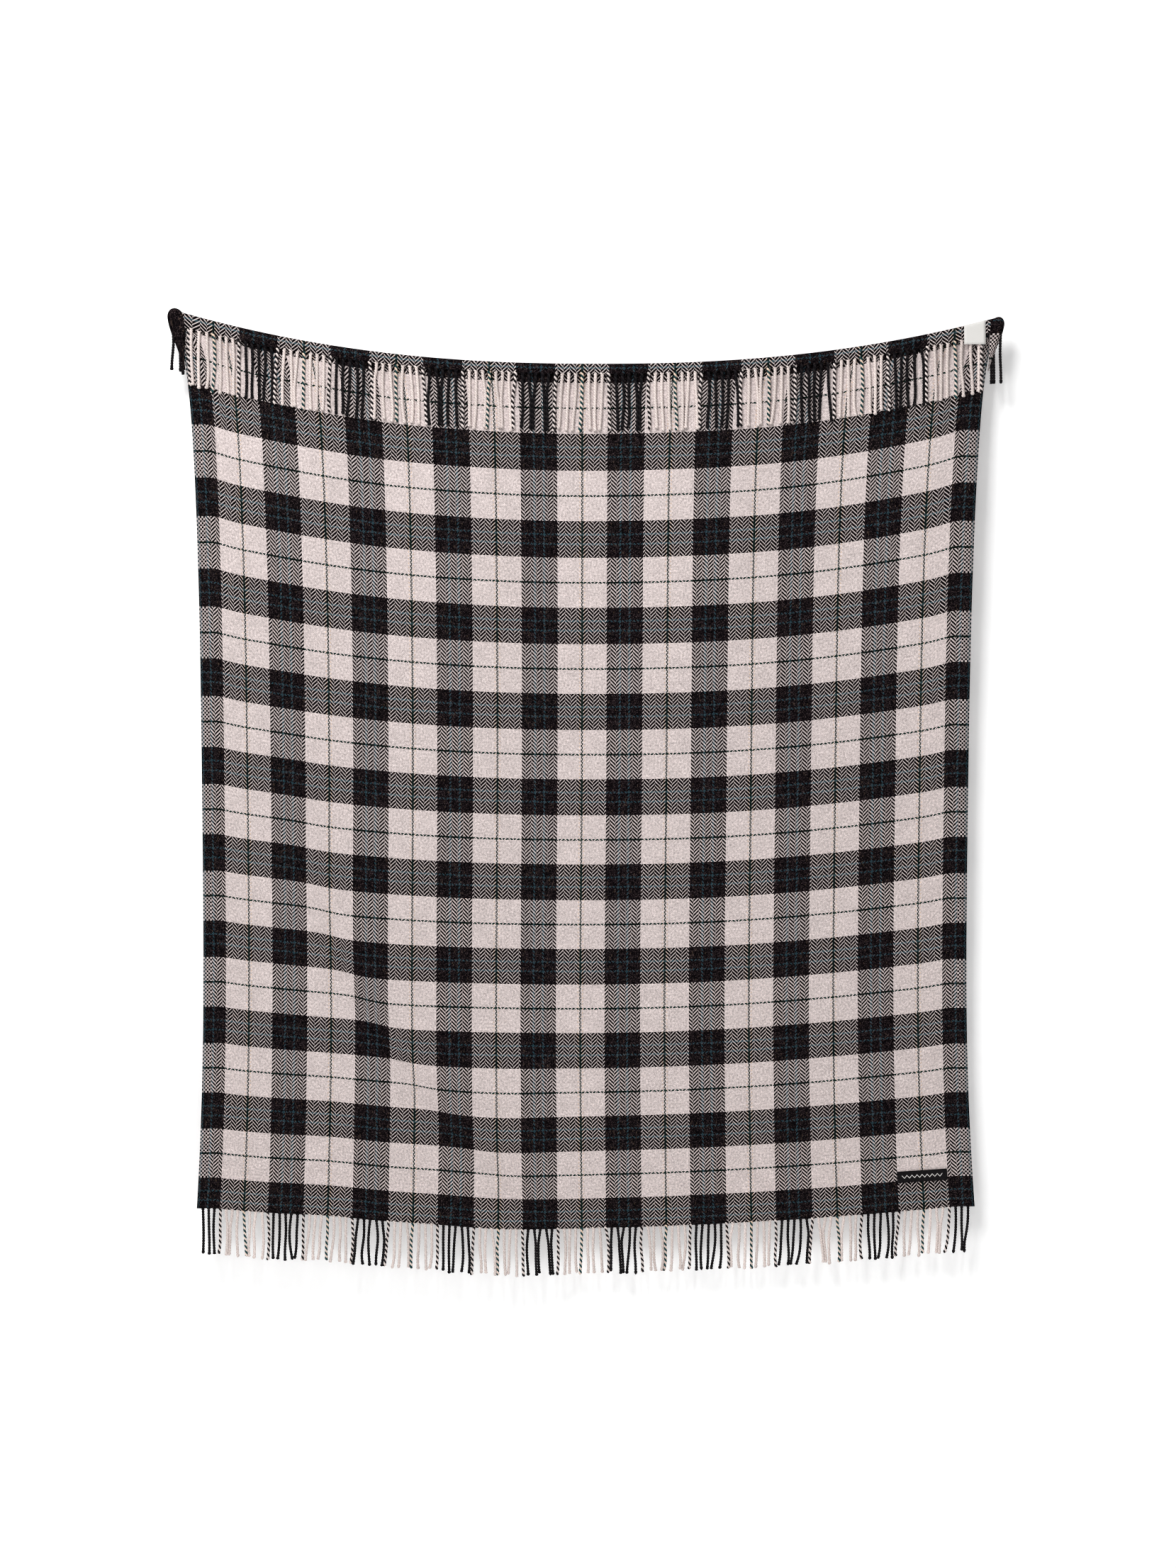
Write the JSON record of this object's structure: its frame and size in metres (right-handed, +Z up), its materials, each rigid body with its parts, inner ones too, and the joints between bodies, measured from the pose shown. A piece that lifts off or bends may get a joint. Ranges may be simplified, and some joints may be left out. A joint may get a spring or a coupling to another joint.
{
  "type": "blanket",
  "caption": "Plaid camp blanket in black and natural white twill with fringed ends, hung by its two top corners with the top hem folded over to the front",
  "frame": {"origin": "the middle of the top fold, mid-cloth, at the height of the fold's crest", "axes": "+Z up the hanging blanket, +X to its right as seen from the front, +Y behind it; its front faces -Y"},
  "size_m": [1.494, 0.0261, 1.7244],
  "materials": {
    "plaid_weave": "herringbone twill in a black and natural white plaid, brushed, with thin green and peach line threads",
    "black_wool": "twisted black yarn",
    "natural_wool": "twisted natural white yarn",
    "two_tone_wool": "one black ply and one natural white ply, twisted",
    "marled_wool": "natural white ply twisted with a green and a peach thread",
    "label_tape": null,
    "label_satin": "pale satin ribbon, blank",
    "label_thread": "black sewing thread",
    "care_thread": "off-white sewing thread"
  },
  "bodies": {
    "root": {"blanket_cloth": "plaid_weave", "bottom_fringe_dark_1": "black_wool", "bottom_fringe_dark_10": "black_wool", "bottom_fringe_dark_2": "black_wool", "bottom_fringe_dark_3": "black_wool", "bottom_fringe_dark_4": "black_wool", "bottom_fringe_dark_5": "black_wool", "bottom_fringe_dark_6": "black_wool", "bottom_fringe_dark_7": "black_wool", "bottom_fringe_dark_8": "black_wool", "bottom_fringe_dark_9": "black_wool", "bottom_fringe_marled": "marled_wool", "bottom_fringe_pale_1": "natural_wool", "bottom_fringe_pale_2": "natural_wool", "bottom_fringe_pale_3": "natural_wool", "bottom_fringe_pale_4": "natural_wool", "bottom_fringe_pale_5": "natural_wool", "bottom_fringe_pale_6": "natural_wool", "bottom_fringe_pale_7": "natural_wool", "bottom_fringe_pale_8": "natural_wool", "bottom_fringe_pale_9": "natural_wool", "bottom_fringe_two_tone": "two_tone_wool", "care_label": "label_satin", "care_label_stitches": "care_thread", "top_fringe_dark_1": "black_wool", "top_fringe_dark_10": "black_wool", "top_fringe_dark_2": "black_wool", "top_fringe_dark_3": "black_wool", "top_fringe_dark_4": "black_wool", "top_fringe_dark_5": "black_wool", "top_fringe_dark_6": "black_wool", "top_fringe_dark_7": "black_wool", "top_fringe_dark_8": "black_wool", "top_fringe_dark_9": "black_wool", "top_fringe_marled": "marled_wool", "top_fringe_pale_1": "natural_wool", "top_fringe_pale_2": "natural_wool", "top_fringe_pale_3": "natural_wool", "top_fringe_pale_4": "natural_wool", "top_fringe_pale_5": "natural_wool", "top_fringe_pale_6": "natural_wool", "top_fringe_pale_7": "natural_wool", "top_fringe_pale_8": "natural_wool", "top_fringe_pale_9": "natural_wool", "top_fringe_two_tone": "two_tone_wool", "woven_label": "label_tape", "woven_label_stitches": "label_thread"}
  },
  "joints": []
}
